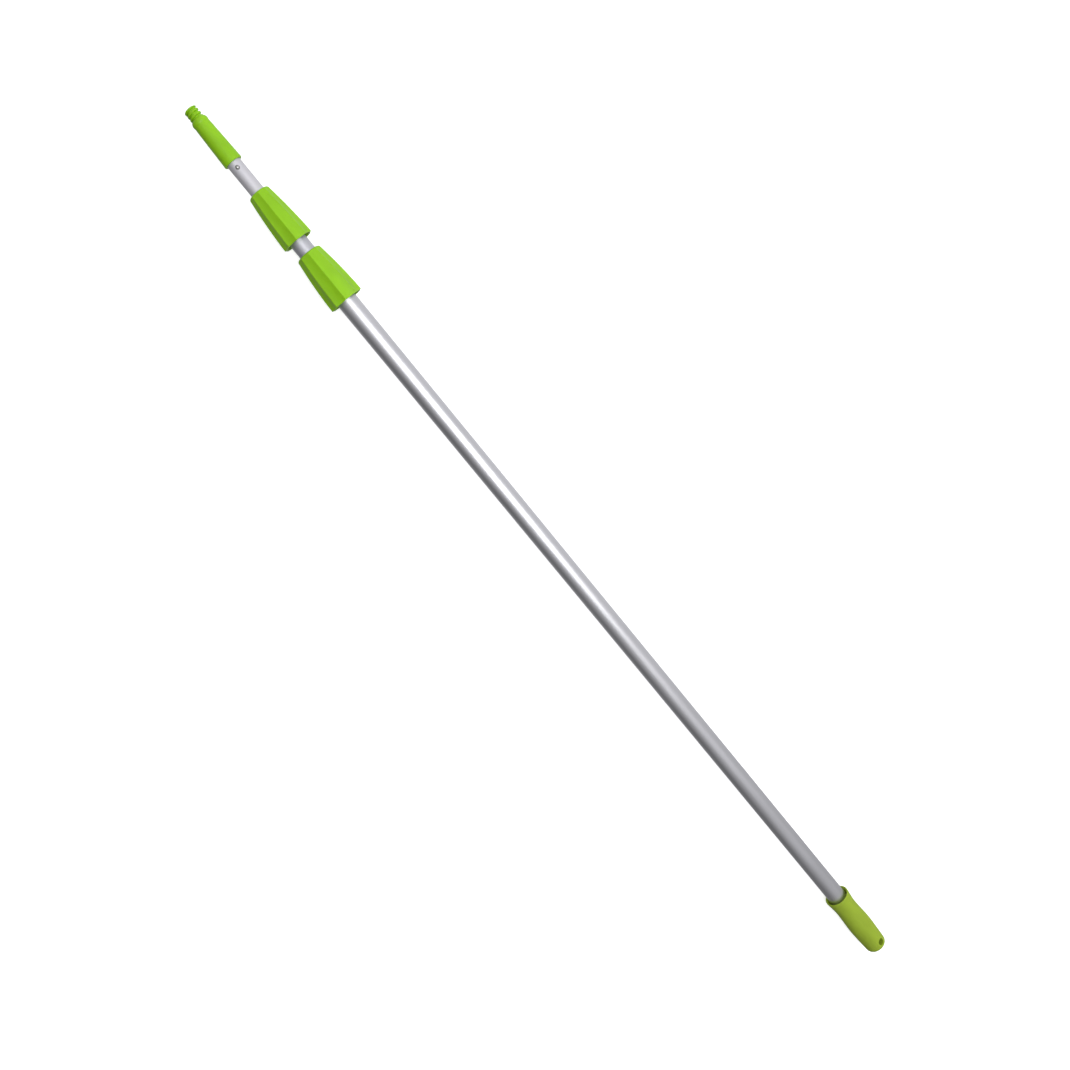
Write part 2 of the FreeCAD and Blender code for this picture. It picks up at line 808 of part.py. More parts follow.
def build():
    outer_tube()
    grip()
    outer_tube_bung()
    bump_stop()
    middle_tube()
    guide_plug("middle_guide_plug", MIDDLE_PLUG, MIDDLE_BORE, OUTER_BORE)
    plug_pin("middle_plug_pin", MIDDLE_PLUG, MIDDLE_RADIUS)
    stop_ring("middle_stop_ring", MIDDLE_PLUG, MIDDLE_RADIUS, OUTER_BORE)
    inner_tube()
    guide_plug("inner_guide_plug", INNER_PLUG, INNER_BORE, MIDDLE_BORE)
    plug_pin("inner_plug_pin", INNER_PLUG, INNER_RADIUS)
    stop_ring("inner_stop_ring", INNER_PLUG, INNER_RADIUS, MIDDLE_BORE)
    lower = Clutch("lower", LOWER_COLLAR, OUTER_RADIUS, MIDDLE_RADIUS)
    upper = Clutch("upper", UPPER_COLLAR, MIDDLE_RADIUS, INNER_RADIUS)
    for clutch in (lower, upper):
        sleeve(clutch)
        sleeve_pins(clutch)
        jaw(clutch)
        collar(clutch)
    tip_cone()
    snap_button()
    button_spring()


def sub_parts():
    """The objects that are written: every body, plug pin and group of rivets."""
    bodies = [o for o in document.Objects if o.TypeId == "PartDesign::Body"]
    groups = [o for o in document.Objects if o.TypeId == "Part::Compound"]
    pins = [o for o in document.Objects if o.Name.endswith("_plug_pin")]
    return bodies + groups + pins


def write():
    document.recompute()
    for thing in document.Objects:
        if "Invalid" in thing.State or "Error" in thing.State:
            raise ValueError(f"{thing.Name} failed: {thing.State}")
    os.makedirs("parts", exist_ok=True)
    for part in sub_parts():
        shape = part.Shape
        if shape.isNull() or not shape.isValid():
            raise ValueError(f"{part.Label} has no valid shape")
        shape.exportStep(f"parts/{part.Label}.step")
        box = shape.BoundBox
        print(
            f"{part.Label:20s} {len(shape.Solids)} solid(s) {shape.Volume:10.1f} mm3"
            f"  x {box.XMin:8.1f} {box.XMax:8.1f}  z {box.ZMin:6.2f} {box.ZMax:6.2f}"
        )
    reach = OUTER_TUBE_END.value - MIDDLE_PLUG.value - DIMENSIONS["stop_ring_offset"]
    print("middle section reach", round(reach - DIMENSIONS["stop_ring_length"], 2))
    reach = MIDDLE_TUBE_END.value - INNER_PLUG.value - DIMENSIONS["stop_ring_offset"]
    print("inner section reach", round(reach - DIMENSIONS["stop_ring_length"], 2))


build()
write()
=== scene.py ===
"""A three-section telescopic cleaning pole: its visible surfaces, finishes and studio.

The pole lies along X with its threaded tip towards +X.  Lengths are in metres and angles
about the pole are counted from straight up, towards -Y.
"""

import math

import bmesh
import bpy
import numpy as np
from bpy.props import FloatProperty, FloatVectorProperty, IntProperty, PointerProperty
from mathutils import Matrix, Vector


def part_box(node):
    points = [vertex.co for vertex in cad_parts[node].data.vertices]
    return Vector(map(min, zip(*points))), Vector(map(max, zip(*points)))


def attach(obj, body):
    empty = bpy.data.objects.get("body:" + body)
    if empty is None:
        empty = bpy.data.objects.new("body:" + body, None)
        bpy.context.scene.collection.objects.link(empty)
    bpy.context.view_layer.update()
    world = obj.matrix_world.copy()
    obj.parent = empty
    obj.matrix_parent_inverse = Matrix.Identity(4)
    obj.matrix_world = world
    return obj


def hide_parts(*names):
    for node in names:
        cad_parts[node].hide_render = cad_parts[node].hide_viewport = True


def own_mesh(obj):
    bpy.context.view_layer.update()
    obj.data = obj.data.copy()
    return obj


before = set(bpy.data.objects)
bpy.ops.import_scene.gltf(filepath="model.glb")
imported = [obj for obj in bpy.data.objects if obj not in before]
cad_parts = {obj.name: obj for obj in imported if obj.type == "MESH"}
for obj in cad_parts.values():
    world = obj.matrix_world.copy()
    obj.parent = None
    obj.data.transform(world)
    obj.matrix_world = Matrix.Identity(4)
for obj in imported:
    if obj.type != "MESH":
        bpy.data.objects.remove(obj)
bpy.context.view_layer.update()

bl_info = {
    "name": "Telescopic cleaning pole",
    "version": (1, 0, 0),
    "blender": (4, 5, 0),
    "location": "View3D > Sidebar > Pole",
    "description": "Builds the surfaces, finishes and studio of a telescopic cleaning pole",
    "category": "Object",
}

MM = 0.001
TURN = 2 * math.pi
QUARTER = math.pi / 2


def node_box(node):
    """A CAD node's lowest and highest corners."""
    low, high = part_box(node)
    return np.array(low), np.array(high)


OUTER_LOW, OUTER_HIGH = node_box("outer_tube")
MIDDLE_LOW, MIDDLE_HIGH = node_box("middle_tube")
INNER_LOW, INNER_HIGH = node_box("inner_tube")
GRIP_LOW, GRIP_HIGH = node_box("grip")
CONE_END = float(node_box("tip_cone")[1][0])
BUTTON_LOW, BUTTON_HIGH = node_box("snap_button")
BUTTON_X = float(BUTTON_LOW[0] + BUTTON_HIGH[0]) / 2
AXIS_Z = float(OUTER_LOW[2] + OUTER_HIGH[2]) / 2


# ---------------------------------------------------------------- sizes and colours


def length(name, description, default):
    """A size in metres that the panel shows."""
    return FloatProperty(
        name=name, description=description, default=default, min=0.0, unit="LENGTH")


def slant(name, description, default):
    """An angle that the panel shows in degrees."""
    return FloatProperty(name=name, description=description, default=default, subtype="ANGLE")


def power(name, description, default):
    """A lamp's power in watts."""
    return FloatProperty(
        name=name, description=description, default=default, min=0.0, unit="POWER")


def colour(name, description, default):
    """A finish's base colour, in linear light."""
    return FloatVectorProperty(
        name=name, description=description, default=default, min=0.0, max=1.0,
        subtype="COLOR")


class PoleTubeSizes(bpy.types.PropertyGroup):
    outer_diameter: length(
        "Outer tube", "Outside diameter of the tube at the grip",
        float(OUTER_HIGH[2] - OUTER_LOW[2]))
    middle_diameter: length(
        "Middle tube", "Outside diameter of the middle tube",
        float(MIDDLE_HIGH[2] - MIDDLE_LOW[2]))
    inner_diameter: length(
        "Inner tube", "Outside diameter of the tube at the tip",
        float(INNER_HIGH[2] - INNER_LOW[2]))
    wall: length("Wall", "Wall thickness of the outer and middle tubes", 0.0013)
    inner_wall: length("Inner wall", "Wall thickness of the inner tube", 0.0012)
    edge: length("Edge", "How far a tube's cut edges are broken", 0.0003)
    button_hole: length("Button hole", "Diameter of the hole for the snap button", 0.0063)


class PoleCollarSizes(bpy.types.PropertyGroup):
    lower_rim: length("Lower rim", "Diameter over the ridges at the lower rim", 0.0526)
    lower_middle: length("Lower middle", "Diameter at half the collar's length", 0.0481)
    lower_top: length("Lower mouth end", "Diameter at the lower collar's mouth", 0.0394)
    upper_rim: length("Upper rim", "Diameter over the ridges at the upper rim", 0.0468)
    upper_middle: length("Upper middle", "Diameter at half the collar's length", 0.0416)
    upper_top: length("Upper mouth end", "Diameter at the upper collar's mouth", 0.0332)
    wall: length("Skirt wall", "Wall of the open skirt, over the ridges", 0.0039)
    mouth_rounding: length("Mouth rounding", "Rounding at the mouth end", 0.0048)
    rim_rounding: length("Rim rounding", "Rounding of the open rim", 0.0014)
    flute_radius: length("Flute radius", "Radius of the roller that forms a flute", 0.045)
    ridge_rounding: length("Ridge rounding", "How far a ridge's edge is softened", 0.00016)
    flute_count: IntProperty(
        name="Flutes", description="Flutes round each collar", default=9, min=3, max=24)


class PoleGripSizes(bpy.types.PropertyGroup):
    mouth: length("Mouth", "Outside diameter of the grip's flared mouth", 0.0418)
    opening: length("Opening", "Inside diameter of the mouth", 0.0376)
    waist: length("Waist", "Diameter at the grip's narrow neck", 0.037)
    swell: length("Swell", "Diameter at the palm swell", 0.0402)
    heel: length("Heel", "Diameter at the closed end", 0.036)
    end_flat: length("End flat", "Diameter of the flat at the closed end", 0.025)
    mouth_depth: length("Mouth depth", "How far the mouth stands clear of the tube", 0.012)
    hang_hole: length("Hang hole", "Diameter of the hole at the closed end", 0.011)
    hang_station: length("Hang hole station", "From the closed end to the hole", 0.012)
    solid_end: length("Solid end", "From the closed end to the tube", 0.026)
    hang_turn: slant(
        "Hang hole turn", "Turn of the hang hole from straight up", math.radians(30))


class PoleTipSizes(bpy.types.PropertyGroup):
    rim: length("Cone rim", "Diameter of the cone at the tube", 0.0272)
    middle: length("Cone middle", "Diameter of the cone near half its length", 0.0254)
    top: length("Cone top", "Diameter of the cone at its shoulder", 0.023)
    cone: length("Cone length", "From the cone's rim to its shoulder's end", 0.070)
    shoulder: length("Shoulder", "Length of the rounded shoulder", 0.008)
    stub: length("Stub", "Length of the threaded stub", 0.0152)
    socket: length("Socket", "How far the tube goes into the cone", 0.012)
    crest: length("Thread crest", "Diameter over the tool thread's crests", 0.019)
    root: length("Thread root", "Diameter at the tool thread's root", 0.0154)
    pitch: length("Thread pitch", "Lead of the single-start tool thread", 0.00508)
    button: length("Button", "Diameter of the snap button's head", 0.0054)
    flange: length("Button flange", "Diameter of the button's hidden flange", 0.0072)


class PoleColours(bpy.types.PropertyGroup):
    aluminium: colour("Aluminium", "Satin anodised tube", (0.80, 0.80, 0.825))
    middle_aluminium: colour("Middle aluminium", "The middle tube's finish", (0.66, 0.66, 0.71))
    inner_aluminium: colour("Inner aluminium", "The inner tube's finish", (0.71, 0.70, 0.735))
    lime: colour("Lime", "Collars and tip cone", (0.26, 0.55, 0.004))
    grip: colour("Grip", "Moulded grip", (0.30, 0.42, 0.026))
    nylon: colour("Black nylon", "Threaded sleeves", (0.018, 0.018, 0.019))
    acetal: colour("Grey acetal", "Jaws, plugs and stop rings", (0.36, 0.36, 0.37))
    rubber: colour("Rubber", "Bump stop", (0.02, 0.02, 0.02))
    steel: colour("Steel", "Button, spring, rivets and dowels", (0.66, 0.65, 0.64))
    floor: colour("Floor", "Studio floor", (0.90, 0.90, 0.90))


class PoleStudio(bpy.types.PropertyGroup):
    lens: length("Lens", "Focal length on a 36 mm sensor", 0.033645)
    tilt: slant("Tilt", "Angle between the pole and the picture plane", math.radians(12.6))
    roll: slant("Roll", "Slope of the pole across the picture", math.atan2(0.77181, 0.63586))
    distance: length("Distance", "From the camera to the pole's aimed point", 1.4925)
    aim: FloatProperty(
        name="Aim", description="Aimed point along the pole, from its middle",
        default=0.0899, unit="LENGTH")
    aside: FloatProperty(
        name="Aside", description="How far the camera stands to the pole's side",
        default=0.0055, unit="LENGTH")
    key: power("Key", "Power of the overhead softbox", 19.0)
    fill: power("Fill", "Power of each of the two matt fill lights", 25.0)


class PoleSettings(bpy.types.PropertyGroup):
    tubes: PointerProperty(type=PoleTubeSizes)
    collars: PointerProperty(type=PoleCollarSizes)
    grip: PointerProperty(type=PoleGripSizes)
    tip: PointerProperty(type=PoleTipSizes)
    colours: PointerProperty(type=PoleColours)
    studio: PointerProperty(type=PoleStudio)


def settings():
    return bpy.context.scene.cleaning_pole


# ---------------------------------------------------------------- surfaces


def about_pole(x, radius, angle):
    """Points at a station, a distance from the pole's axis and an angle about it: y is
    minus the distance times the sine, and the height is the axis's plus the distance
    times the cosine."""
    x, radius, angle = np.broadcast_arrays(x, radius, angle)
    return np.stack([x, -radius * np.sin(angle), AXIS_Z + radius * np.cos(angle)], -1)


def sheet(points, close_rows=False):
    """A grid of points with the four-sided faces that join them.  The columns close on
    themselves, and the rows do too if asked."""
    rows, columns = points.shape[:2]
    i, j = np.divmod(np.arange((rows if close_rows else rows - 1) * columns), columns)
    below, beside = (i + 1) % rows, (j + 1) % columns
    faces = np.stack([
        i * columns + j, i * columns + beside, below * columns + beside,
        below * columns + j], 1)
    return points.reshape(-1, 3), faces


def arc_height(x, start, through, end):
    """Height at x of the circle through three points: the centre is where the
    perpendicular bisectors of two chords cross, and the height is the centre's plus or
    minus the square root of the radius squared less the distance along squared."""
    (ax, ay), (bx, by), (cx, cy) = start, through, end
    twice = 2 * (ax * (by - cy) + bx * (cy - ay) + cx * (ay - by))
    a, b, c = ax * ax + ay * ay, bx * bx + by * by, cx * cx + cy * cy
    ux = (a * (by - cy) + b * (cy - ay) + c * (ay - by)) / twice
    uy = (a * (cx - bx) + b * (ax - cx) + c * (bx - ax)) / twice
    side = 1.0 if by > uy else -1.0
    reach = (ax - ux) ** 2 + (ay - uy) ** 2
    return uy + side * np.sqrt(np.maximum(reach - (x - ux) ** 2, 0.0))


def soft_least(values, width):
    """The smallest of several values, rounded off where two of them meet: minus the
    width times the logarithm of the sum of exp(-value / width)."""
    stack = np.stack(np.broadcast_arrays(*values))
    least = stack.min(0)
    return least - width * np.log(np.exp((least - stack) / width).sum(0))


def smooth_curve(x, stations, heights):
    """Cubic curve through given points with each point's slope the weighted harmonic
    mean of the slopes beside it, so that it never swings past a point."""
    stations, heights = np.asarray(stations, float), np.asarray(heights, float)
    step = np.diff(stations)
    slope = np.diff(heights) / step
    left, right = slope[:-1], slope[1:]
    weight = 2 * step[1:] + step[:-1], step[1:] + 2 * step[:-1]
    same = left * right > 0
    safe = [np.where(same, s, 1.0) for s in (left, right)]
    mean = sum(weight) / (weight[0] / safe[0] + weight[1] / safe[1])
    tangent = np.concatenate([slope[:1], np.where(same, mean, 0.0), slope[-1:]])
    i = np.clip(np.searchsorted(stations, x) - 1, 0, len(step) - 1)
    h = step[i]
    t = (x - stations[i]) / h
    return (
        heights[i] * (1 + 2 * t) * (1 - t) ** 2
        + tangent[i] * h * t * (1 - t) ** 2
        + heights[i + 1] * t * t * (3 - 2 * t)
        + tangent[i + 1] * h * t * t * (t - 1)
    )


def evenly(count):
    """Angles that share out a full turn."""
    return np.arange(count) * TURN / count


MERGE_DISTANCE = 1.5e-6
SLIVER_LENGTH = 1e-7
SHARP_ANGLE = math.radians(32)


def make_piece(name, parts, material, body):
    """Joins grids into one closed mesh with its faces outward, and lets it ride."""
    points = np.concatenate([p for p, _ in parts])
    shifts = np.cumsum([0] + [len(p) for p, _ in parts[:-1]])
    faces = np.concatenate([f + shift for (_, f), shift in zip(parts, shifts)])
    mesh = bpy.data.meshes.new(name)
    mesh.vertices.add(len(points))
    mesh.vertices.foreach_set("co", points.astype(np.float32).ravel())
    mesh.loops.add(faces.size)
    mesh.loops.foreach_set("vertex_index", faces.astype(np.int32).ravel())
    mesh.polygons.add(len(faces))
    mesh.polygons.foreach_set("loop_start", np.arange(0, faces.size, 4, dtype=np.int32))
    mesh.update(calc_edges=True)
    work = bmesh.new()
    work.from_mesh(mesh)
    bmesh.ops.remove_doubles(work, verts=work.verts, dist=MERGE_DISTANCE)
    bmesh.ops.dissolve_degenerate(work, edges=work.edges, dist=SLIVER_LENGTH)
    bmesh.ops.recalc_face_normals(work, faces=work.faces)
    open_edges = sum(1 for edge in work.edges if len(edge.link_faces) != 2)
    if open_edges:
        raise RuntimeError(f"{name} has {open_edges} edges that are open or shared")
    if work.calc_volume(signed=True) < 0:
        bmesh.ops.reverse_faces(work, faces=work.faces)
    work.to_mesh(mesh)
    work.free()
    mesh.shade_smooth()
    mesh.set_sharp_from_angle(angle=SHARP_ANGLE)
    mesh.materials.append(material)
    piece = bpy.data.objects.new(name, mesh)
    bpy.context.scene.collection.objects.link(piece)
    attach(piece, body)
    return piece


def ring(stations, radii, columns):
    """A closed outline turned about the pole, for a piece with a bore."""
    stations, radii = np.asarray(stations)[:, None], np.asarray(radii)[:, None]
    return sheet(about_pole(stations, radii, evenly(columns)), close_rows=True)


class Window:
    """A round hole in a surface turned about the pole.

    The surface's own grid leaves out a patch round the hole.  A fan of rings fills the
    patch: each ring lies between the hole's edge and the patch's edge, on straight lines
    from the hole's axis, and is laid back on to the surface."""

    CROWDING = 0.7  # below 1, the rings crowd towards the hole
    ROUND_STEPS = 6

    def __init__(self, place, turn, radius, reach, sweep, cells):
        self.place, self.turn, self.radius = place, turn, radius
        self.rows = place + np.linspace(-reach, reach, cells + 1)
        self.columns = turn + np.linspace(-sweep, sweep, cells + 1)

    def border(self, radius_at):
        """The patch's edge as distances along the pole and across the hole."""
        rows, columns = self.rows, self.columns
        x = np.concatenate([
            rows[:-1], np.full(len(columns) - 1, rows[-1]),
            rows[:0:-1], np.full(len(columns) - 1, rows[0])])
        angle = np.concatenate([
            np.full(len(rows) - 1, columns[0]), columns[:-1],
            np.full(len(rows) - 1, columns[-1]), columns[:0:-1]])
        return x - self.place, radius_at(x) * np.sin(angle - self.turn)

    def rings(self, radius_at, count, rounding):
        """Rings from the patch's edge to the hole.  Near the hole they sink by a quarter
        circle, the hole's rounding."""
        along, across = self.border(radius_at)
        far = np.hypot(along, across)
        near = self.radius + rounding
        share = np.linspace(0, 1, count)[:, None] ** self.CROWDING
        reach = far + (near - far) * share
        bend = np.linspace(0, QUARTER, self.ROUND_STEPS + 1)[1:, None]
        if not rounding:
            bend = bend[:0]
        reach = np.concatenate([reach, near - rounding * np.sin(bend) + 0 * far])
        sink = np.concatenate([0 * share + 0 * far, rounding * (1 - np.cos(bend)) + 0 * far])
        a, b = reach * along / far, reach * across / far
        radius = radius_at(self.place + a)
        up = np.sqrt(radius ** 2 - b ** 2) - sink
        return self.place_points(a, b, up)

    def place_points(self, a, b, up):
        """Points a along the pole from the hole, b across it and up from the axis."""
        x, _, _ = np.broadcast_arrays(self.place + a, b, up)
        s, c = math.sin(self.turn), math.cos(self.turn)
        return np.stack([x, -(up * s + b * c), AXIS_Z + up * c - b * s], -1)


def pierced(stations, radius_at, columns, windows):
    """A surface turned about the pole, without the faces inside the windows' patches."""
    points = about_pole(stations[:, None], radius_at(stations)[:, None], columns)
    flat, faces = sheet(points)
    rows, sides = len(stations), len(columns)
    i, j = np.divmod(np.arange((rows - 1) * sides), sides)
    x = (stations[i] + stations[i + 1]) / 2
    step = (np.roll(columns, -1)[j] - columns[j]) % TURN
    angle = columns[j] + step / 2
    keep = np.ones(len(faces), bool)
    for window in windows:
        off = (angle - window.turn + math.pi) % TURN - math.pi
        half = (window.columns[-1] - window.columns[0]) / 2
        inside = (abs(off) < half) & (x > window.rows[0]) & (x < window.rows[-1])
        keep &= ~inside
    return flat, faces[keep]


# ---------------------------------------------------------------- finishes


def set_stops(ramp_node, stops):
    """Puts (position, colour) pairs on a ramp node."""
    elements = ramp_node.color_ramp.elements
    while len(elements) < len(stops):
        elements.new(0.5)
    for element, (position, tone) in zip(elements, stops):
        element.position = position
        element.color = (*tone, 1.0)


class Finish:
    """A material under construction: its shader, and nodes that read object places."""

    def __init__(self, name):
        self.material = bpy.data.materials.new(name)
        self.material.use_nodes = True
        self.tree = self.material.node_tree
        self.shader = self.tree.nodes["Principled BSDF"]
        self.places = self.tree.nodes.new("ShaderNodeTexCoord").outputs["Object"]

    def node(self, kind, inputs=None, **values):
        made = self.tree.nodes.new(kind)
        for key, value in values.items():
            setattr(made, key, value)
        for key, value in (inputs or {}).items():
            if isinstance(value, bpy.types.NodeSocket):
                self.tree.links.new(value, made.inputs[key])
            else:
                made.inputs[key].default_value = value
        return made

    def noise(self, stretch, scale, detail=3.0, roughness=0.5, shift=(0, 0, 0)):
        """Noise over the object's places, stretched by a factor along each axis."""
        mapping = self.node(
            "ShaderNodeMapping", {"Vector": self.places, "Location": shift, "Scale": stretch})
        made = self.node("ShaderNodeTexNoise", {
            "Vector": mapping.outputs[0], "Scale": scale, "Detail": detail,
            "Roughness": roughness})
        return made.outputs[0]

    def ramp(self, value, *stops):
        """Colours or greys that follow a value, from (position, colour) pairs."""
        made = self.node("ShaderNodeValToRGB", {"Fac": value})
        set_stops(made, stops)
        return made.outputs[0]

    def span(self, value, low, high, start=0.0, end=1.0):
        """Low to high while the value goes from start to end."""
        made = self.node("ShaderNodeMapRange", {
            "Value": value, "From Min": start, "From Max": end, "To Min": low, "To Max": high})
        return made.outputs[0]

    def blend(self, share, first, second):
        made = self.node("ShaderNodeMix", data_type="RGBA")
        for index, value in ((0, share), (6, first), (7, second)):
            if isinstance(value, bpy.types.NodeSocket):
                self.tree.links.new(value, made.inputs[index])
            else:
                made.inputs[index].default_value = value
        return made.outputs[2]

    def bump(self, height, depth, strength=1.0, under=None):
        inputs = {"Height": height, "Distance": depth, "Strength": strength}
        if under is not None:
            inputs["Normal"] = under
        return self.node("ShaderNodeBump", inputs).outputs[0]

    def surface(self, **sockets):
        """Sets or links the shader's sockets; underscores in a name stand for spaces."""
        for key, value in sockets.items():
            socket = self.shader.inputs[key.replace("_", " ")]
            if isinstance(value, bpy.types.NodeSocket):
                self.tree.links.new(value, socket)
            elif isinstance(value, tuple) and len(value) == 3 and socket.type == "RGBA":
                socket.default_value = (*value, 1.0)
            else:
                socket.default_value = value
        return self.material


def shade(base, factor):
    """A colour made lighter or darker."""
    return tuple(min(1.0, c * factor) for c in base)


def drawn_aluminium(name, base, roughness, bare):
    """Satin anodised drawn tube: fine die lines along the tube, slow changes of sheen
    and sparse rub marks.  A milkier anodic film leaves less of the metal bare."""
    finish = Finish(name)
    lines = finish.noise((3.0, 1400.0, 1400.0), 1.0, 4.0, 0.6)
    broad = finish.noise((9.0, 60.0, 60.0), 1.0, 2.0)
    grain = finish.noise((2600.0, 5200.0, 5200.0), 1.0, 2.0)
    rubs = finish.noise((60.0, 900.0, 900.0), 1.0, 2.0, 0.4, (3.1, 1.7, 0.4))
    tone = finish.ramp(
        finish.blend(0.35, lines, broad),
        (0.30, shade(base, 0.93)), (0.52, base), (0.75, shade(base, 1.05)))
    rubbed = finish.ramp(rubs, (0.66, (0, 0, 0)), (0.74, (1, 1, 1)))
    sheen = finish.span(
        finish.blend(0.5, lines, broad), roughness - 0.05, roughness + 0.06, 0.3, 0.7)
    rough = finish.node(
        "ShaderNodeMath", {0: sheen, 1: finish.span(rubbed, 0.0, 0.05)}, operation="ADD")
    fine = finish.bump(lines, 0.000012, 0.5)
    normal = finish.bump(grain, 0.000004, 0.4, fine)
    return finish.surface(
        Base_Color=tone, Metallic=bare, Roughness=rough.outputs[0], Normal=normal)


def moulded_plastic(name, base, roughness, grain_size, grain_depth, glow):
    """Moulded polypropylene: slight flow tone, a fine spark-eroded grain and scuffs."""
    finish = Finish(name)
    flow = finish.noise((26.0, 60.0, 60.0), 1.0, 3.0, 0.5)
    grain = finish.noise((1.0, 1.0, 1.0), grain_size, 3.0, 0.65)
    scuffs = finish.noise((240.0, 900.0, 900.0), 1.0, 2.0, 0.5, (0.7, 2.3, 5.1))
    tone = finish.ramp(flow, (0.32, shade(base, 0.92)), (0.55, base), (0.78, shade(base, 1.07)))
    worn = finish.ramp(scuffs, (0.70, (0, 0, 0)), (0.80, (1, 1, 1)))
    tint = finish.blend(finish.span(worn, 0.0, 0.10), tone, (*shade(base, 1.35), 1.0))
    rough = finish.span(grain, roughness - 0.05, roughness + 0.07, 0.3, 0.7)
    normal = finish.bump(scuffs, 0.00001, 0.3, finish.bump(grain, grain_depth, 0.8))
    return finish.surface(
        Base_Color=tint, Roughness=rough, Normal=normal, IOR=1.49, Specular_IOR_Level=0.4,
        Subsurface_Weight=glow, Subsurface_Radius=(0.4, 1.0, 0.15), Subsurface_Scale=0.0012)


def turned_plastic(name, base, roughness):
    """Turned or moulded engineering plastic with faint rings round the pole."""
    finish = Finish(name)
    rings = finish.noise((2400.0, 20.0, 20.0), 1.0, 3.0)
    speck = finish.noise((1.0, 1.0, 1.0), 1800.0, 2.0)
    tone = finish.ramp(speck, (0.35, shade(base, 0.88)), (0.65, shade(base, 1.08)))
    rough = finish.span(rings, roughness - 0.05, roughness + 0.06, 0.3, 0.7)
    normal = finish.bump(rings, 0.00001, 0.5)
    return finish.surface(Base_Color=tone, Roughness=rough, Normal=normal)


def plain_steel(name, base):
    """Plain stainless steel with fine marks that point no way."""
    finish = Finish(name)
    marks = finish.noise((1.0, 1.0, 1.0), 2600.0, 3.0, 0.6)
    tone = finish.ramp(marks, (0.3, shade(base, 0.90)), (0.7, shade(base, 1.06)))
    rough = finish.span(marks, 0.20, 0.32, 0.3, 0.7)
    normal = finish.bump(marks, 0.000004, 0.5)
    return finish.surface(Base_Color=tone, Metallic=1.0, Roughness=rough, Normal=normal)


def bump_rubber(name, base):
    """Dull black rubber with a pale bloom."""
    finish = Finish(name)
    bloom = finish.noise((1.0, 1.0, 1.0), 420.0, 4.0, 0.6)
    tone = finish.ramp(bloom, (0.35, base), (0.75, shade(base, 2.2)))
    rough = finish.span(bloom, 0.72, 0.90, 0.3, 0.7)
    return finish.surface(
        Base_Color=tone, Roughness=rough, Normal=finish.bump(bloom, 0.00003, 0.6))


FINISHES = {}


def finish_named(key):
    """A finish by its short name, made once."""
    if key not in FINISHES:
        c = settings().colours
        made_by = {
            "tube": (drawn_aluminium, "drawn_aluminium", c.aluminium, 0.36, 1.0),
            "middle_tube": (
                drawn_aluminium, "drawn_aluminium_middle", c.middle_aluminium, 0.44, 0.85),
            "inner_tube": (
                drawn_aluminium, "drawn_aluminium_inner", c.inner_aluminium, 0.50, 0.65),
            "lime": (moulded_plastic, "lime_moulding", c.lime, 0.36, 2200.0, 0.00001, 0.06),
            "grip": (moulded_plastic, "grip_moulding", c.grip, 0.56, 1300.0, 0.00003, 0.04),
            "black_nylon": (turned_plastic, "black_nylon", c.nylon, 0.50),
            "grey_acetal": (turned_plastic, "grey_acetal", c.acetal, 0.42),
            "steel": (plain_steel, "plain_steel", c.steel),
            "rubber": (bump_rubber, "bump_rubber", c.rubber),
        }
        maker, name, base, *values = made_by[key]
        FINISHES[key] = maker(name, tuple(base), *values)
    return FINISHES[key]


# ---------------------------------------------------------------- pieces


TUBE_SIDES = 160


def plain_tube(name, low, high, diameter, wall, edge, finish, body):
    """A drawn tube: its outside, its bore and four broken edges, turned about the pole."""
    outside, bore = diameter / 2, diameter / 2 - wall
    start, end = float(low[0]), float(high[0])
    stations = [start + edge, start, start, start + edge, end - edge, end, end, end - edge]
    radii = [
        bore, bore + edge, outside - edge, outside, outside, outside - edge, bore + edge, bore]
    return make_piece(
        name, [ring(stations, radii, TUBE_SIDES)], finish_named(finish), body)


class POLE_OT_tubes(bpy.types.Operator):
    """Make the outer and middle tubes"""

    bl_idname = "pole.tubes"
    bl_label = "Outer and middle tubes"

    def execute(self, context):
        s = settings().tubes
        outer = plain_tube(
            "outer_tube_skin", OUTER_LOW, OUTER_HIGH, s.outer_diameter, s.wall, s.edge,
            "tube", "outer_section")
        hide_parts("outer_tube")
        middle = plain_tube(
            "middle_tube_skin", MIDDLE_LOW, MIDDLE_HIGH, s.middle_diameter, s.wall, s.edge,
            "middle_tube", "middle_section")
        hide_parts("middle_tube")
        return {"FINISHED"}


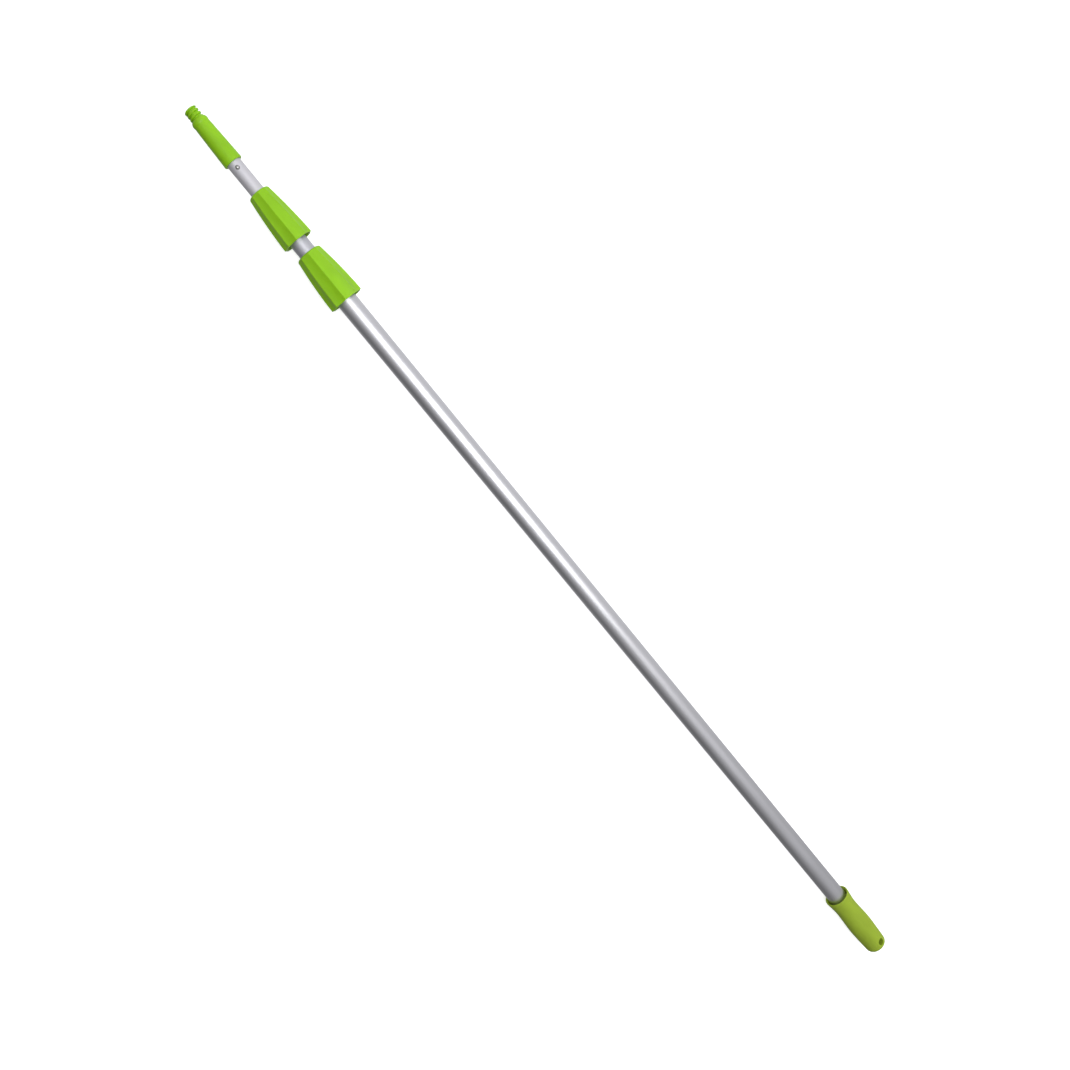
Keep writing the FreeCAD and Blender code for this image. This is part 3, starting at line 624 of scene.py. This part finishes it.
class POLE_OT_inner_tube(bpy.types.Operator):
    """Make the inner tube with its hole for the snap button"""

    bl_idname = "pole.inner_tube"
    bl_label = "Inner tube"

    def execute(self, context):
        s = settings().tubes
        outside, edge = s.inner_diameter / 2, s.edge
        bore = outside - s.inner_wall
        start, end = float(INNER_LOW[0]), float(INNER_HIGH[0])
        reach, sweep, lead_in = 6 * MM, math.radians(36), 0.35 * MM
        window = Window(BUTTON_X, 0.0, s.button_hole / 2, reach, sweep, 12)
        columns = np.concatenate([
            window.columns, np.linspace(sweep, TURN - sweep, 97)[1:-1]])
        stations = np.concatenate([[start + edge], window.rows, [end - edge]])

        def outer_at(x):
            return np.full(np.shape(x), outside)

        def bore_at(x):
            return np.full(np.shape(x), bore)

        outer_rings = window.rings(outer_at, 7, lead_in)
        bore_rings = window.rings(bore_at, 5, 0.0)
        top, bottom = outer_rings[-1], bore_rings[-1]
        wall = top + np.linspace(0, 1, 4)[:, None, None] * (bottom - top)
        ends = []
        for face, into in ((start, edge), (end, -edge)):
            lip = about_pole(
                np.array([face + into, face, face, face + into])[:, None],
                np.array([outside, outside - edge, bore + edge, bore])[:, None], columns)
            ends.append(sheet(lip))
        parts = [
            pierced(stations, outer_at, columns, [window]),
            pierced(stations, bore_at, columns, [window]),
            sheet(outer_rings), sheet(bore_rings), sheet(wall), *ends]
        tube = make_piece(
            "inner_tube_skin", parts, finish_named("inner_tube"), "inner_section")
        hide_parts("inner_tube")
        return {"FINISHED"}


# Stations inside a collar, from its open rim: the end of the tapering skirt, the two ends of
# the bore that turns on the sleeve, and the end of the jaw's seat.
SKIRT_END, THREAD_START, THREAD_END, SEAT_END = 0.031, 0.036, 0.066, 0.0755
THREAD_RADIUS = {"lower_collar": 18.4 * MM, "upper_collar": 16.4 * MM}
# A flute's deepest place as a share of the radius, at the rim, half way and at the mouth.
FLUTE_DEPTHS = (0.088, 0.084, 0.077)


def collar_surface(node, rim, middle, top, gripped):
    """The fluted collar.

    Outside, the radius at each station is the soft least of the turned profile and of
    two neighbouring flutes.  A flute is the near side of a roller beside the collar: at
    an angle a from the flute's middle its radius is c cos a - sqrt(p^2 - c^2 sin^2 a),
    with c the distance of the roller's axis and p the roller's radius there.  Inside are
    the open skirt, the bore that turns on the sleeve, the jaw's seat and the mouth."""
    s = settings().collars
    low, high = node_box(node)
    start, full = float(low[0]), float(high[0] - low[0])
    rim, middle, top = rim / 2, middle / 2, top / 2
    rounding, shoulder = s.rim_rounding, s.mouth_rounding
    half_way, side_end = full * 0.49, full - shoulder
    thread = THREAD_RADIUS[node]

    bend = np.linspace(0, QUARTER, 9)
    rim_x, rim_r = rounding * (1 - np.cos(bend)), rim - 0.6 * rounding * (1 - np.sin(bend))
    side_x = np.linspace(rounding, side_end, 46)[1:-1]
    side_r = arc_height(side_x, (rounding, rim), (half_way, middle), (side_end, top))
    top_x = side_end + shoulder * np.sin(bend)
    top_r = top - 0.9 * shoulder * (1 - np.cos(bend))
    x = np.concatenate([rim_x, side_x, top_x])[:, None]
    profile = np.concatenate([rim_r, side_r, top_r])[:, None]

    half = math.pi / s.flute_count
    across = half * np.sin(QUARTER * np.linspace(-1, 1, 31)[:-1])
    columns = (math.pi + 2 * half * np.arange(s.flute_count)[:, None] + across).ravel()
    off = np.tile(across, s.flute_count)
    deepest = [
        (station, radius * (1 - depth)) for station, radius, depth in zip(
            (rounding, half_way, side_end), (rim, middle, top), FLUTE_DEPTHS)]
    floor = arc_height(np.clip(x, rounding, side_end), *deepest)
    centre = deepest[0][1] + s.flute_radius
    roller = centre - floor

    def flute(angle):
        chord = centre * np.sin(angle)
        return centre * np.cos(angle) - np.sqrt(roller ** 2 - chord ** 2)

    radius = soft_least(
        [profile, flute(off), flute(2 * half - abs(off))], s.ridge_rounding)
    outside = about_pole(start + x, radius, columns)

    cavity, cavity_end = rim - s.wall, middle - s.wall
    jaw, toe, mouth = gripped + 3.45 * MM, gripped + 0.95 * MM, gripped + 0.6 * MM
    inner = np.array([
        (full, top - 0.9 * shoulder - 0.4 * MM), (full, mouth + 0.5 * MM),
        (full - 0.15 * MM, mouth + 0.15 * MM), (full - 0.5 * MM, mouth),
        (SEAT_END, mouth), (SEAT_END, toe), (THREAD_END, jaw), (THREAD_END, thread),
        (THREAD_START, thread), (SKIRT_END, cavity_end), (0.6 * MM, cavity),
        (0.17 * MM, cavity + 0.17 * MM), (0.0, cavity + 0.6 * MM)])
    inside = about_pole(start + inner[:, :1], inner[:, 1:], columns)
    return np.concatenate([outside, inside])


class POLE_OT_collars(bpy.types.Operator):
    """Make the two fluted twist collars"""

    bl_idname = "pole.collars"
    bl_label = "Twist collars"

    def execute(self, context):
        s, tubes = settings().collars, settings().tubes
        rows = [
            ("lower_collar", s.lower_rim, s.lower_middle, s.lower_top,
             tubes.middle_diameter / 2, "lower_lock"),
            ("upper_collar", s.upper_rim, s.upper_middle, s.upper_top,
             tubes.inner_diameter / 2, "upper_lock")]
        for node, rim, middle, top, gripped, body in rows:
            points = collar_surface(node, rim, middle, top, gripped)
            collar = make_piece(
                f"{node}_moulding", [sheet(points, close_rows=True)], finish_named("lime"),
                body)
            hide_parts(node)
        return {"FINISHED"}


# Room between a tube and the moulding it is pressed into.
SOCKET_GAP = 0.02 * MM


class POLE_OT_grip(bpy.types.Operator):
    """Make the grip with its flared mouth and its hang hole"""

    bl_idname = "pole.grip"
    bl_label = "Grip"

    def execute(self, context):
        s, tube = settings().grip, settings().tubes.outer_diameter / 2
        start, full = float(GRIP_LOW[0]), float(GRIP_HIGH[0] - GRIP_LOW[0])
        flat, heel, swell = s.end_flat / 2, s.heel / 2, s.swell / 2
        waist, mouth, opening = s.waist / 2, s.mouth / 2, s.opening / 2
        heel_end, side_end = 6.9 * MM, full - 1.0 * MM
        known = np.array([
            (heel_end, heel + 0.13 * MM), (0.2 * full, heel + 1.05 * MM),
            (0.436 * full, swell), (0.638 * full, waist + 0.5 * MM), (0.776 * full, waist),
            (0.915 * full, mouth - 1.0 * MM), (side_end, mouth)])
        turn_in = 5.5 * MM
        heel_arc = ((0.0, flat), (0.36 * turn_in, flat + 0.66 * turn_in), (1.5 * turn_in, heel))

        def radius_at(x):
            return np.where(
                x - start < heel_end,
                arc_height(np.clip(x - start, 0.0, heel_end), *heel_arc),
                smooth_curve(x - start, known[:, 0], known[:, 1]))

        hole, edge, reach, sweep = s.hang_hole / 2, 1.1 * MM, 8.5 * MM, math.radians(28)
        place = start + s.hang_station
        window = Window(place, s.hang_turn, hole, reach, sweep, 14)
        back = Window(place, s.hang_turn + math.pi, hole, reach, sweep, 14)
        between = np.linspace(sweep, math.pi - sweep, 43)[1:-1]
        columns = np.concatenate([
            window.columns, s.hang_turn + between, back.columns,
            s.hang_turn + math.pi + between])
        stations = np.concatenate([
            start + np.linspace(0, 1, 13)[:-1] ** 2 * (window.rows[0] - start), window.rows,
            np.linspace(window.rows[-1], start + side_end, 60)[1:]])
        close = about_pole(
            start, np.array([flat, 0.8 * flat, 0.4 * flat, 0.0])[:, None], columns)
        socket = tube + SOCKET_GAP
        lip = np.array([
            (side_end, mouth), (full - 0.55 * MM, mouth - 0.08 * MM),
            (full - 0.16 * MM, mouth - 0.33 * MM), (full, mouth - 0.8 * MM),
            (full, opening + 0.55 * MM), (full - 0.2 * MM, opening + 0.12 * MM),
            (full - 0.7 * MM, opening - 0.25 * MM), (full - s.mouth_depth, socket),
            (s.solid_end, socket), (s.solid_end, 0.0)])
        mouth_rows = about_pole(start + lip[:, :1], lip[:, 1:], columns)
        upper, lower = (w.rings(radius_at, 8, edge) for w in (window, back))
        along, across = window.border(radius_at)
        far = np.hypot(along, across)
        a, b = hole * along / far, hole * across / far
        height = np.sqrt(radius_at(window.place + a) ** 2 - b ** 2) - edge
        tunnel = window.place_points(a, b, np.linspace(1, -1, 9)[:, None] * height)
        parts = [
            pierced(stations, radius_at, columns, [window, back]),
            sheet(close), sheet(mouth_rows), sheet(upper), sheet(lower), sheet(tunnel)]
        grip = make_piece(
            "grip_moulding", parts, finish_named("grip"), "outer_section")
        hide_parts("grip")
        return {"FINISHED"}


class POLE_OT_tip(bpy.types.Operator):
    """Make the tip cone with its tool thread"""

    bl_idname = "pole.tip"
    bl_label = "Threaded tip cone"

    def execute(self, context):
        s, tube = settings().tip, settings().tubes.inner_diameter / 2
        end = CONE_END
        base = end - s.stub - s.cone
        rim, middle, top = s.rim / 2, s.middle / 2, s.top / 2
        crest, root, chamfer = s.crest / 2, s.root / 2, 1.2 * MM
        cone_end, side_end = base + s.cone, base + s.cone - s.shoulder
        columns = evenly(144)
        step, face_gap = 0.14 * MM, 0.02 * MM

        bend = np.linspace(0, QUARTER, 8)
        edge = 1.0 * MM
        rim_x, rim_r = base + edge * (1 - np.cos(bend)), rim - edge * (1 - np.sin(bend))
        side_x = np.linspace(base + edge, side_end, 40)[1:]
        side_r = arc_height(
            side_x, (base + edge, rim), (base + 0.42 * s.cone, middle), (side_end, top))
        thread_x = np.arange(side_end + step, end - face_gap, step)
        shoulder = arc_height(
            np.minimum(thread_x, cone_end), (side_end, top),
            (cone_end - 1.8 * MM, top - 0.7 * MM), (cone_end, crest - 0.6 * MM))
        shoulder = np.where(thread_x > cone_end, root - MM, shoulder)

        first_root, half_groove, flank = 9.045 * MM, 0.315, 0.19

        def thread_radius(x):
            """A rounded groove that turns once round the pole in each pitch.  Its depth
            is a smooth step of how far the phase lies inside half the groove's width,
            and at the end a slope of one to one cuts the crests."""
            phase = ((x - end + first_root) / s.pitch - columns / TURN + 0.5) % 1.0 - 0.5
            depth = np.clip((half_groove - abs(phase)) / flank, 0.0, 1.0)
            depth = depth * depth * (3 - 2 * depth)
            chamfered = np.minimum(crest, crest - chamfer + (end - x))
            return np.minimum(chamfered, crest - (crest - root) * depth)

        x = thread_x[:, None]
        threaded = -soft_least([-shoulder[:, None], -thread_radius(x)], 0.12 * MM)
        face = np.minimum(crest - chamfer, thread_radius(np.array([[end - face_gap]])))
        rows = [
            about_pole(rim_x[:, None], rim_r[:, None], columns),
            about_pole(side_x[:, None], side_r[:, None], columns),
            about_pole(x, threaded, columns),
            about_pole(end, face, columns),
            about_pole(end, face * 0.6, columns),
            about_pole(np.array([[end]]), np.array([[0.0]]), columns)]
        socket, lead_in = tube + SOCKET_GAP, 0.3 * MM
        socket_end = base + s.socket + 0.1 * MM
        hollow = np.array([
            (socket_end, 0.0), (socket_end, socket), (base + lead_in, socket),
            (base, socket + lead_in)])
        inner = about_pole(hollow[:, :1], hollow[:, 1:], columns)
        points = np.concatenate([inner, *rows])
        cone = make_piece(
            "tip_cone_moulding", [sheet(points)], finish_named("lime"), "inner_section")
        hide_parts("tip_cone")
        return {"FINISHED"}


class POLE_OT_button(bpy.types.Operator):
    """Make the snap button"""

    bl_idname = "pole.button"
    bl_label = "Snap button"

    def execute(self, context):
        s = settings().tip
        bottom, top = float(BUTTON_LOW[2]), float(BUTTON_HIGH[2])
        head, flange = s.button / 2, s.flange / 2
        dome, flange_height, bevel = 2.4 * MM, 2.8 * MM, 0.2 * MM
        bend = np.linspace(0, QUARTER, 9)
        dome_r, dome_z = head * np.sin(bend), top - dome * (1 - np.cos(bend))
        skirt = np.array([
            (head, bottom + flange_height), (flange - bevel, bottom + flange_height),
            (flange, bottom + flange_height - bevel), (flange, bottom + bevel),
            (flange - bevel, bottom), (0.0, bottom)])
        radius = np.concatenate([dome_r, skirt[:, 0]])[:, None]
        height = np.concatenate([dome_z, skirt[:, 1]])[:, None]
        turn = evenly(72)
        points = np.stack([
            BUTTON_X + radius * np.cos(turn), radius * np.sin(turn), height + 0 * turn], -1)
        button = make_piece(
            "snap_button_turning", [sheet(points)], finish_named("steel"),
            "release_button")
        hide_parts("snap_button")
        return {"FINISHED"}


# The button's spring: the radius of its wire and of its coil, its pitch and the height that it
# stands at.
WIRE, COIL, SPRING_PITCH = 0.4 * MM, 2.2 * MM, 2.2 * MM
SPRING_FLOOR = AXIS_Z - 6.0 * MM
POINTS_PER_COIL = 40


class POLE_OT_spring(bpy.types.Operator):
    """Make the coil spring under the snap button"""

    bl_idname = "pole.spring"
    bl_label = "Button spring"

    def execute(self, context):
        """A round wire carried along a helix that stands on the spring's floor.  The
        section is a circle in the plane through the helix's axis, and each end of the wire
        closes on its centre."""
        full = float(BUTTON_LOW[2]) - SPRING_FLOOR
        turns = (full - 2.2 * WIRE) / SPRING_PITCH
        along = np.linspace(0, 1, int(POINTS_PER_COIL * turns))[:, None]
        size = np.full(along.shape, WIRE)
        along = np.concatenate([along[:1], along, along[-1:]])
        size = np.concatenate([[[0.0]], size, [[0.0]]])
        section = evenly(14)
        reach = COIL + size * np.cos(section)
        turn = TURN * turns * along
        foot = SPRING_FLOOR + 1.05 * WIRE
        height = foot + SPRING_PITCH * turns * along + size * np.sin(section)
        points = np.stack([
            BUTTON_X + reach * np.cos(turn), reach * np.sin(turn), height], -1)
        spring = make_piece(
            "button_spring_coil", [sheet(points)], finish_named("steel"), "inner_section")
        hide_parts("button_spring")
        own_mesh(spring)
        return {"FINISHED"}


class POLE_OT_inner_parts(bpy.types.Operator):
    """Give the hidden fittings their finishes"""

    bl_idname = "pole.inner_parts"
    bl_label = "Inner fittings"

    def execute(self, context):
        groups = {
            "black_nylon": ["lower_sleeve", "upper_sleeve"],
            "grey_acetal": [
                "lower_jaw", "upper_jaw", "middle_guide_plug", "inner_guide_plug",
                "middle_stop_ring", "inner_stop_ring", "outer_tube_bung"],
            "steel": [
                "lower_sleeve_pins", "upper_sleeve_pins", "middle_plug_pin",
                "inner_plug_pin"],
            "rubber": ["bump_stop"]}
        for finish, nodes in groups.items():
            for node in nodes:
                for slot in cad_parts[node].material_slots:
                    slot.material = finish_named(finish)
        return {"FINISHED"}


# ---------------------------------------------------------------- studio


# How brightly the floor and the backdrop shine, so that they look almost white.
FLOOR_GLOW, BACKDROP_GLOW = (0.60, 0.60, 0.60), (0.96, 0.96, 0.965)
FLOOR_RADIUS, BACKDROP_RADIUS = 25.0, 24.0


def stage_sheet(name, points, material):
    """A surface that isn't part of the pole."""
    mesh = bpy.data.meshes.new(name)
    flat, faces = sheet(points)
    mesh.from_pydata(flat.tolist(), [], faces.tolist())
    mesh.validate()
    mesh.shade_smooth()
    mesh.materials.append(material)
    made = bpy.data.objects.new(name, mesh)
    bpy.context.scene.collection.objects.link(made)
    return made


def pale_floor():
    """A wide round floor.  The pole's finishes don't see it, so that its sides can fall
    off into shade as they do over an open sweep of paper."""
    finish = Finish("pale_floor")
    mottle = finish.noise((1.0, 1.0, 1.0), 3.0, 2.0)
    base = tuple(settings().colours.floor)
    tone = finish.ramp(mottle, (0.3, shade(base, 0.995)), (0.7, base))
    material = finish.surface(
        Base_Color=tone, Roughness=0.9, Specular_IOR_Level=0.1,
        Emission_Color=FLOOR_GLOW, Emission_Strength=1.0)
    radius = np.array([0.0, 0.5, 2.0, 8.0, FLOOR_RADIUS])[:, None]
    turn = evenly(64)
    points = np.stack([radius * np.cos(turn), radius * np.sin(turn), 0 * radius * turn], -1)
    floor = stage_sheet("studio_floor", points, material)
    floor.visible_glossy = False
    floor.visible_diffuse = False


def pale_backdrop():
    """A pale dome that only the camera sees."""
    finish = Finish("pale_backdrop")
    material = finish.surface(
        Base_Color=(0, 0, 0), Roughness=1.0, Emission_Color=BACKDROP_GLOW,
        Emission_Strength=1.0)
    rise = np.linspace(-0.05, QUARTER, 12)[:, None]
    turn = evenly(48)
    points = BACKDROP_RADIUS * np.stack([
        np.cos(rise) * np.cos(turn), np.cos(rise) * np.sin(turn), np.sin(rise) + 0 * turn], -1)
    dome = stage_sheet("studio_backdrop", points, material)
    for ray in ("diffuse", "glossy", "transmission", "volume_scatter", "shadow"):
        setattr(dome, f"visible_{ray}", False)


def soft_sky():
    """A dim sky, brighter on the pole's -Y side than on its +Y side, and dimmer towards
    the grip's end.  Its strength is the product of a ramp along Y and one along X."""
    world = bpy.data.worlds.new("studio_sky")
    world.use_nodes = True
    tree = world.node_tree
    background = tree.nodes["Background"]
    place = tree.nodes.new("ShaderNodeTexCoord").outputs["Generated"]
    split = tree.nodes.new("ShaderNodeSeparateXYZ")
    tree.links.new(place, split.inputs[0])

    def ramp(axis, stops):
        """Greys along an axis, from places between -1 and 1."""
        span = tree.nodes.new("ShaderNodeMapRange")
        span.inputs["From Min"].default_value = -1.0
        tree.links.new(split.outputs[axis], span.inputs["Value"])
        made = tree.nodes.new("ShaderNodeValToRGB")
        set_stops(made, [((place + 1) / 2, (grey, grey, grey)) for place, grey in stops])
        tree.links.new(span.outputs[0], made.inputs[0])
        return made.outputs[0]

    sides = ramp("Y", (
        (-1.0, 0.66), (-0.6, 0.74), (0.0, 0.66), (0.55, 0.42), (0.85, 0.22), (1.0, 0.12)))
    ends = ramp("X", (
        (-1.0, 0.50), (-0.62, 0.54), (-0.55, 0.52), (-0.44, 0.80), (-0.30, 1.0), (1.0, 1.0)))
    product = tree.nodes.new("ShaderNodeMath")
    product.operation = "MULTIPLY"
    tree.links.new(sides, product.inputs[0])
    tree.links.new(ends, product.inputs[1])
    tree.links.new(product.outputs[0], background.inputs["Strength"])
    background.inputs["Color"].default_value = (0.97, 0.97, 1.0, 1.0)
    bpy.context.scene.world = world


def softbox(name, place, aim, size_x, size_y, power, glossy):
    """A rectangular lamp turned to its aim; glossy says if the finishes mirror it."""
    light = bpy.data.lights.new(name, "AREA")
    light.shape = "RECTANGLE"
    light.size, light.size_y = size_x, size_y
    light.energy = power
    box = bpy.data.objects.new(name, light)
    box.location = place
    box.rotation_mode = "QUATERNION"
    box.rotation_quaternion = (Vector(aim) - Vector(place)).to_track_quat("-Z", "Y")
    box.visible_glossy = glossy
    bpy.context.scene.collection.objects.link(box)


def place_camera():
    """The camera looks down on the pole, tilted towards its tip; the pole runs across
    the picture from the upper left to the lower right."""
    s = settings().studio
    back = Vector((math.sin(s.tilt), 0.0, math.cos(s.tilt)))
    along = Vector((math.cos(s.tilt), 0.0, -math.sin(s.tilt)))
    aside = Vector((0.0, -1.0, 0.0))
    right = -math.cos(s.roll) * along + math.sin(s.roll) * aside
    up = math.sin(s.roll) * along + math.cos(s.roll) * aside
    data = bpy.data.cameras.new("camera")
    data.sensor_width = 36.0
    data.lens = s.lens / MM
    data.clip_start, data.clip_end = 0.01, 100.0
    camera = bpy.data.objects.new("camera", data)
    target = Vector((s.aim, s.aside, AXIS_Z))
    turn = Matrix((right, up, back)).transposed().to_4x4()
    camera.matrix_world = Matrix.Translation(target + s.distance * back) @ turn
    bpy.context.scene.collection.objects.link(camera)
    bpy.context.scene.camera = camera
    bpy.context.scene.view_settings.view_transform = "Standard"


class POLE_OT_studio(bpy.types.Operator):
    """Make the floor, the backdrop, the lights and the camera"""

    bl_idname = "pole.studio"
    bl_label = "Studio"

    def execute(self, context):
        s = settings().studio
        pale_floor()
        pale_backdrop()
        soft_sky()
        softbox(
            "overhead_softbox", (0.03, -0.56, 2.25), (0.03, 0.0, 0.0), 1.05, 1.9, s.key, True)
        softbox("side_fill", (0.2, -2.6, 1.1), (0.1, 0.0, 0.0), 4.0, 1.6, s.fill, False)
        softbox("overhead_fill", (0.4, -0.5, 3.2), (0.1, 0.0, 0.0), 4.0, 2.5, s.fill, False)
        place_camera()
        return {"FINISHED"}


# ---------------------------------------------------------------- add-on


class VIEW3D_PT_cleaning_pole(bpy.types.Panel):
    bl_label = "Cleaning pole"
    bl_space_type = "VIEW_3D"
    bl_region_type = "UI"
    bl_category = "Pole"

    def draw(self, context):
        for operator in OPERATORS:
            self.layout.operator(operator.bl_idname)
        pole = context.scene.cleaning_pole
        for group in (pole.tubes, pole.collars, pole.grip, pole.tip, pole.colours, pole.studio):
            box = self.layout.box()
            for key in group.bl_rna.properties.keys():
                if key not in ("rna_type", "name"):
                    box.prop(group, key)


OPERATORS = [
    POLE_OT_studio, POLE_OT_tubes, POLE_OT_inner_tube, POLE_OT_collars, POLE_OT_grip,
    POLE_OT_tip, POLE_OT_button, POLE_OT_spring, POLE_OT_inner_parts]
GROUPS = [
    PoleTubeSizes, PoleCollarSizes, PoleGripSizes, PoleTipSizes, PoleColours, PoleStudio,
    PoleSettings]


def register():
    for thing in (*GROUPS, *OPERATORS, VIEW3D_PT_cleaning_pole):
        bpy.utils.register_class(thing)
    bpy.types.Scene.cleaning_pole = PointerProperty(type=PoleSettings)


def unregister():
    del bpy.types.Scene.cleaning_pole
    for thing in reversed((*GROUPS, *OPERATORS, VIEW3D_PT_cleaning_pole)):
        bpy.utils.unregister_class(thing)


def main():
    register()
    bpy.ops.pole.studio()
    bpy.ops.pole.tubes()
    bpy.ops.pole.inner_tube()
    bpy.ops.pole.collars()
    bpy.ops.pole.grip()
    bpy.ops.pole.tip()
    bpy.ops.pole.button()
    bpy.ops.pole.spring()
    bpy.ops.pole.inner_parts()
    bpy.context.view_layer.update()


if __name__ == "__main__":
    main()
